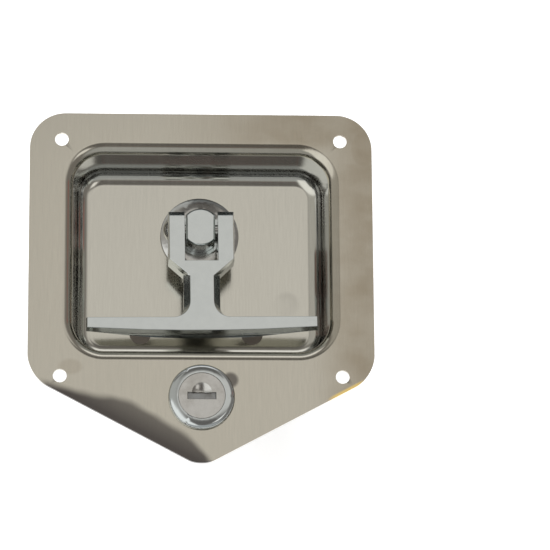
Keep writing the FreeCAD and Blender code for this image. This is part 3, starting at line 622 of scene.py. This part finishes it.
def draw_flange_outline(sizes, front, half_width, top):
    """The outline of the flange: square above, pointed below, with rounded corners."""
    outline = front_rectangle("flange_outline", half_width, sizes.shoulder, top, front)
    select_points(outline, lambda place: place.z < 0)
    bpy.ops.mesh.subdivide(number_cuts=1)
    bpy.ops.object.mode_set(mode="OBJECT")
    select_points(outline, lambda place: abs(place.x) < MM)
    bpy.ops.transform.translate(value=(0.0, 0.0, -half_width * math.tan(sizes.flange_slope)))
    bpy.ops.object.mode_set(mode="OBJECT")
    round_corners(outline, lambda place: place.z > 0, sizes.flange_corner, RIGHT_ANGLE, UPPER_CORNER_STEPS)
    round_corners(outline, lambda place: place.z < 0 and abs(place.x) > MM, sizes.flange_corner,
                  RIGHT_ANGLE + sizes.flange_slope, LOWER_CORNER_STEPS)
    round_corners(outline, lambda place: place.z < 0 and abs(place.x) < MM, sizes.flange_tip,
                  2 * (RIGHT_ANGLE - sizes.flange_slope), LOWER_CORNER_STEPS)
    activate(outline)
    bpy.ops.object.mode_set(mode="EDIT")
    bpy.ops.mesh.select_all(action="SELECT")
    bpy.ops.mesh.delete(type="ONLY_FACE")
    bpy.ops.object.mode_set(mode="OBJECT")
    return outline


def fill_flange(pan):
    """Fills the flange between the outline and the dish, and turns every face to the front."""
    activate(pan)
    bpy.ops.object.mode_set(mode="EDIT")
    bpy.ops.mesh.select_mode(type="EDGE")
    bpy.ops.mesh.select_all(action="DESELECT")
    bpy.ops.mesh.select_non_manifold()
    bpy.ops.mesh.fill(use_beauty=True)
    bpy.ops.mesh.select_all(action="SELECT")
    bpy.ops.mesh.normals_make_consistent(inside=False)
    bpy.ops.object.mode_set(mode="OBJECT")
    largest = max(pan.data.polygons, key=lambda face: face.area)
    if largest.normal.y > 0:
        bpy.ops.object.mode_set(mode="EDIT")
        bpy.ops.mesh.flip_normals()
        bpy.ops.object.mode_set(mode="OBJECT")


def hole_cutters(sizes, front):
    """Bars for the fixing holes, the weep holes, the spindle's bush and the lock's barrel."""
    floor = front + sizes.dish_depth
    bush_height = middle_of("spindle_bush").z
    lock_height = middle_of("lock_housing").z
    cutters = []
    for side in (-1, 1):
        for end in (-1, 1):
            cutters.append(post("fixing", sizes.fixing_hole, side * sizes.fixing_x, end * sizes.fixing_z,
                                front - CUTTER_FRONT, front + CUTTER_BACK, SMALL_HOLE_SIDES))
        cutters.append(post("weep", sizes.weep_hole, sizes.weep_middle + side * sizes.weep_reach,
                            sizes.weep_height, floor - CUTTER_FRONT, floor + CUTTER_BACK, SMALL_HOLE_SIDES))
    cutters.append(post("bush", sizes.bush_hole, 0.0, bush_height, floor - CUTTER_FRONT, floor + CUTTER_BACK))
    cutters.append(post("lock", sizes.lock_hole, 0.0, lock_height, front - CUTTER_FRONT, front + CUTTER_BACK))
    return cutters


def make_pan(sizes):
    """The pressed sheet: pointed flange, drawn dish, holes and softened edges."""
    low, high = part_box("pan")
    dish = draw_dish(sizes, low.y)
    outline = draw_flange_outline(sizes, low.y, high.x, high.z)
    pan = join([dish, outline])
    fill_flange(pan)
    apply_modifier(pan, "SOLIDIFY", thickness=sizes.sheet, offset=-1.0, use_even_offset=True)
    cut_away(pan, hole_cutters(sizes, low.y))
    apply_modifier(pan, "BEVEL", width=sizes.edge, segments=3, limit_method="ANGLE",
                   angle_limit=EDGE_ANGLE, use_clamp_overlap=True)
    settle_normals(pan, 35.0)
    return pan


class LATCH_OT_pan(bpy.types.Operator):
    """Draws the pressed pan with its dish."""
    bl_idname = "latch.pan"
    bl_label = "Pan"

    def execute(self, context):
        pan = make_pan(context.scene.latch_sizes)
        finish_piece(pan, make_materials(context.scene), "pressed_stainless", "pan_body", "pan")
        return {"FINISHED"}


def widen_dome(piece, sizes):
    """Draws the flat rim of the bezel in, so that its dome reaches almost to the plug."""
    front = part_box("plug_cap")[0].y
    middle = middle_of("plug_cap").z
    behind_face = front + 0.1 * MM
    inside_rim = sizes.bezel_rim - 0.3 * MM
    select_points(piece, lambda place: place.y < behind_face
                  and math.hypot(place.x, place.z - middle) > inside_rim)
    bpy.ops.transform.resize(value=(DOME_DRAW_IN, 1.0, DOME_DRAW_IN), center_override=(0.0, front, middle))
    bpy.ops.object.mode_set(mode="OBJECT")
    activate(piece)
    bpy.ops.object.shade_smooth_by_angle(angle=math.radians(45.0))


class LATCH_OT_plug_cap(bpy.types.Operator):
    """Turns the bright cap of the plug, with its slot and the round scoop above it."""
    bl_idname = "latch.plug_cap"
    bl_label = "Plug cap"

    def execute(self, context):
        sizes = context.scene.latch_sizes
        low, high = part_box("plug_cap")
        middle = (low.z + high.z) / 2
        cap = post("plug_cap_face", high.x - low.x, 0.0, middle, low.y, high.y, 96)
        ball_radius = (sizes.scoop_radius ** 2 + sizes.scoop_depth ** 2) / (2 * sizes.scoop_depth)
        ball_middle = (0.0, low.y + sizes.scoop_depth - ball_radius, middle + sizes.key_slot_height / 2)
        deselect_all()
        bpy.ops.mesh.primitive_uv_sphere_add(segments=256, ring_count=128, radius=ball_radius,
                                             location=ball_middle)
        ball = bpy.context.object
        bpy.ops.object.transform_apply(location=True, rotation=True, scale=True)
        bpy.ops.object.mode_set(mode="EDIT")
        bpy.ops.mesh.select_all(action="SELECT")
        bpy.ops.mesh.bisect(plane_co=ball_middle, plane_no=(0.0, 0.0, 1.0), clear_inner=True, use_fill=True)
        bpy.ops.object.mode_set(mode="OBJECT")
        cut_away(cap, [ball])
        deselect_all()
        bpy.ops.mesh.primitive_cube_add(size=1.0, location=(0.0, low.y, middle),
                                        scale=(sizes.key_slot_width, 0.01, sizes.key_slot_height))
        slot = bpy.context.object
        bpy.ops.object.transform_apply(location=True, rotation=True, scale=True)
        cut_away(cap, [slot])
        apply_modifier(cap, "BEVEL", width=CAP_EDGE, segments=2, limit_method="ANGLE",
                       angle_limit=EDGE_ANGLE, use_clamp_overlap=True)
        settle_normals(cap, 30.0)
        finish_piece(cap, make_materials(context.scene), NODE_SLOT["plug_cap"],
                     NODE_BODY["plug_cap"], "plug_cap")
        return {"FINISHED"}


class LATCH_OT_fittings(bpy.types.Operator):
    """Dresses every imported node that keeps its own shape."""
    bl_idname = "latch.fittings"
    bl_label = "Fittings"

    def execute(self, context):
        materials = make_materials(context.scene)
        for node in sorted(set(frame["nodes"]) - MODELLED):
            slot = NODE_SLOT[node]
            piece = soft_copy(node, SOFT_EDGES.get(node, 0.0) * MM)
            if node in TURNED:
                turn_about(piece, context.scene.latch_sizes.handle_turn, middle_of("spindle_bush"))
            if node == "lock_housing":
                widen_dome(piece, context.scene.latch_sizes)
            finish_piece(piece, materials, slot, NODE_BODY[node], node)
        return {"FINISHED"}


class LATCH_OT_stage(bpy.types.Operator):
    """Puts up the camera, the backdrop, the studio dome and the lamps."""
    bl_idname = "latch.stage"
    bl_label = "Stage"

    def execute(self, context):
        make_camera(context.scene)
        make_backdrop()
        make_dome()
        make_world(context.scene)
        make_lamps()
        context.scene.view_settings.view_transform = "Standard"
        return {"FINISHED"}


# The photograph's camera: its place in metres, its turn, and a lens for a 36 mm sensor
CAMERA_PLACE = Vector((-0.039228, -1.15127, -0.305593))
CAMERA_TURN_DEG = (104.5717, 0.4036, -3.13)
CAMERA_LENS = 222.545


def make_camera(scene):
    """The camera of the photograph."""
    data = bpy.data.cameras.new("photo_camera")
    data.lens = CAMERA_LENS
    data.sensor_width = 36.0
    data.clip_start = 0.01
    data.clip_end = 50.0
    camera = bpy.data.objects.new("photo_camera", data)
    camera.location = CAMERA_PLACE
    camera.rotation_euler = Euler([math.radians(turn) for turn in CAMERA_TURN_DEG], "XYZ")
    scene.collection.objects.link(camera)
    scene.camera = camera


def seen_ray(board):
    """1 for rays from the camera and through gloss or glass, 0 for the light that falls on things."""
    path = board.node("ShaderNodeLightPath", {}, {}, "Is Camera Ray")
    outputs = path.socket.node.outputs
    gloss = Wire(board, outputs["Is Glossy Ray"])
    through = Wire(board, outputs["Is Transmission Ray"])
    return board.math("MAXIMUM", board.math("MAXIMUM", path, gloss), through)


def make_backdrop():
    """A white board behind the latch, with a painted shadow behind the dish, which lets light and sight
    through from its back.
    """
    deselect_all()
    bpy.ops.mesh.primitive_plane_add(size=4.0, location=(0.0, CAD_BOUNDS[1].y + BACKDROP_GAP, 0.0),
                                     rotation=(RIGHT_ANGLE, 0.0, 0.0))
    board_object = bpy.context.object
    board_object.name = "backdrop"
    board = Board("backdrop_white")
    across, up = board.parts()[:2]
    # Painted shadow behind the dish: dark colour and no glow, seen through the weep holes
    shadow_painted_behind_dish = 1.0 - board.ramp(board.math("SQRT", across * across + up * up, 0.0), 0.034, 0.050)
    board.set("Base Color", board.blend(shadow_painted_behind_dish, (0.80, 0.80, 0.80), (0.16, 0.14, 0.12)))
    board.set("Roughness", 0.9)
    board.set("Specular IOR Level", 0.0)
    tree = board.tree
    glow = board.node("ShaderNodeEmission", {}, {"Strength": seen_ray(board) * 0.62 * (1.0 - shadow_painted_behind_dish)})
    both = board.node("ShaderNodeAddShader", {}, {})
    tree.links.new(board.shader.outputs[0], both.socket.node.inputs[0])
    tree.links.new(glow.socket, both.socket.node.inputs[1])
    clear = board.node("ShaderNodeBsdfTransparent", {}, {})
    face = board.node("ShaderNodeNewGeometry", {}, {}, "Backfacing")
    choice = board.node("ShaderNodeMixShader", {}, {0: face})
    tree.links.new(both.socket, choice.socket.node.inputs[1])
    tree.links.new(clear.socket, choice.socket.node.inputs[2])
    tree.links.new(choice.socket, tree.nodes["Material Output"].inputs["Surface"])
    board_object.data.materials.append(board.material)


# What stands round the latch, as seen from it: degrees to the right of the front, degrees
# upwards, the softness of the edges both ways, the brightness and the tint
STUDIO_CARDS = {
    "ceiling": ((-180, 180), (50, 95), (10, 8), 0.30, (1.0, 1.0, 1.0)),
    "strip lamp on the ceiling": ((-50, 50), (53, 70), (12, 4), 1.20, (0.97, 0.98, 1.0)),
    "table in front": ((-70, 70), (-95, -38), (10, 9), 0.50, (0.93, 0.97, 1.0)),
    "white wall on the left": ((-110, -8), (6, 38), (6, 5), 0.52, (1.0, 1.0, 0.97)),
    "window low on the left": ((-78, -9), (-52, 5), (5, 5), 1.15, (0.97, 0.99, 1.0)),
    "lamp on the right": ((17, 34), (-28, -6), (3, 3), 1.10, (1.0, 1.0, 1.0)),
    "pale wall on the right": ((0, 36), (2, 36), (14, 5), 0.74, (1.0, 0.99, 0.97)),
    "shelf over the card": ((-12, 20), (23, 40), (5, 3), 0.16, (1.0, 0.97, 0.94)),
    "white card over the camera": ((-5.5, 8.5), (5, 20), (3, 2.5), 0.79, (1.0, 0.99, 0.97)),
    "camera and arms": ((-5, 12), (-34, 2), (3, 4), 0.16, (1.0, 0.96, 0.94)),
    "red sleeve": ((1.8, 2.9), (-34, -29), (0.3, 1.0), 0.30, (1.0, 0.30, 0.24)),
    "red folder": ((62, 72), (14, 20), (2, 2), 0.35, (1.0, 0.42, 0.36)),
    "board behind": ((130, 230), (-60, 60), (10, 10), 0.85, (1.0, 1.0, 1.0)),
}

# The rest of the room
ROOM_LIGHT = (0.24, 0.23, 0.223)


def make_dome():
    """The studio round the latch, seen only in its polished metal."""
    deselect_all()
    bpy.ops.mesh.primitive_uv_sphere_add(segments=48, ring_count=24, radius=4.0)
    dome = bpy.context.object
    dome.name = "studio_dome"
    board = Board("studio_light")
    direction = board.node("ShaderNodeVectorMath", {"operation": "NORMALIZE"}, {0: board.place})
    split = board.node("ShaderNodeSeparateXYZ", {}, {"Vector": direction}).socket.node
    side, depth, up = [Wire(board, split.outputs[index]) for index in range(3)]
    degrees = math.degrees(1.0)
    turn = board.math("ARCTAN2", side, depth * -1.0) * degrees
    lift = board.math("ARCSINE", up, 0.0) * degrees
    sky = ROOM_LIGHT
    for turns, lifts, softness, strength, tint in STUDIO_CARDS.values():
        mask = 1.0
        for value, (start, end), soft in ((turn, turns, softness[0]), (lift, lifts, softness[1])):
            rise = board.ramp(value, start - soft, start + soft)
            inside = rise * (1.0 - board.ramp(value, end - soft, end + soft))
            if end > 180:
                inside = inside + (1.0 - board.ramp(value, end - 360 - soft, end - 360 + soft))
            mask = inside * mask
        sky = board.blend(mask, sky, tuple(strength * part for part in tint))
    glow = board.node("ShaderNodeEmission", {}, {"Color": sky, "Strength": 1.0})
    board.tree.links.new(glow.socket, board.tree.nodes["Material Output"].inputs["Surface"])
    dome.data.materials.append(board.material)
    dome.visible_camera = False
    dome.visible_diffuse = False
    dome.visible_shadow = False
    dome.visible_transmission = False


def make_world(scene):
    """A white room: full to the camera, dimmer as light."""
    world = bpy.data.worlds.new("studio_world")
    world.use_nodes = True
    scene.world = world
    tree = world.node_tree
    path = tree.nodes.new("ShaderNodeLightPath")
    background = tree.nodes["Background"]
    background.inputs["Color"].default_value = (1.0, 1.0, 1.0, 1.0)
    strength = tree.nodes.new("ShaderNodeMapRange")
    strength.inputs["To Min"].default_value = 0.55
    strength.inputs["To Max"].default_value = 1.0
    tree.links.new(path.outputs["Is Camera Ray"], strength.inputs["Value"])
    tree.links.new(strength.outputs["Result"], background.inputs["Strength"])


def add_lamp(name, place, aim, size, watts):
    """A round softbox that the gloss doesn't show."""
    data = bpy.data.lights.new(name, "AREA")
    data.shape = "DISK"
    data.size = size
    data.energy = watts
    lamp = bpy.data.objects.new(name, data)
    lamp.location = place
    lamp.rotation_euler = (Vector(aim) - Vector(place)).to_track_quat("-Z", "Y").to_euler()
    lamp.visible_glossy = False
    bpy.context.scene.collection.objects.link(lamp)


def make_lamps():
    """The two lamps, aimed at the dish."""
    centre = (0.0, 0.01, -0.01)
    add_lamp("key_softbox", (0.35, -1.3, 1.1), centre, 0.8, 14.0)
    add_lamp("fill_softbox", (-1.0, -1.2, 0.2), centre, 0.9, 7.0)


class LATCH_PT_panel(bpy.types.Panel):
    """Sidebar panel that lists the pieces and their sizes."""
    bl_idname = "LATCH_PT_panel"
    bl_label = "Flush T-handle latch"
    bl_space_type = "VIEW_3D"
    bl_region_type = "UI"
    bl_category = "Latch"

    def draw(self, context):
        layout = self.layout
        for group in (context.scene.latch_sizes, context.scene.latch_finish):
            for name in group.bl_rna.properties.keys():
                if name not in {"rna_type", "name"}:
                    layout.prop(group, name)
        for operator in OPERATORS:
            layout.operator(operator.bl_idname)


OPERATORS = (LATCH_OT_pan, LATCH_OT_plug_cap, LATCH_OT_fittings, LATCH_OT_stage)
CLASSES = (LatchSizes, LatchFinish) + OPERATORS + (LATCH_PT_panel,)


def register():
    for cls in CLASSES:
        bpy.utils.register_class(cls)
    bpy.types.Scene.latch_sizes = bpy.props.PointerProperty(type=LatchSizes)
    bpy.types.Scene.latch_finish = bpy.props.PointerProperty(type=LatchFinish)


def unregister():
    del bpy.types.Scene.latch_finish
    del bpy.types.Scene.latch_sizes
    for cls in reversed(CLASSES):
        bpy.utils.unregister_class(cls)


def main():
    """Makes the pieces and the stage."""
    register()
    bpy.ops.latch.pan()
    bpy.ops.latch.plug_cap()
    bpy.ops.latch.fittings()
    bpy.ops.latch.stage()


if __name__ == "__main__":
    main()
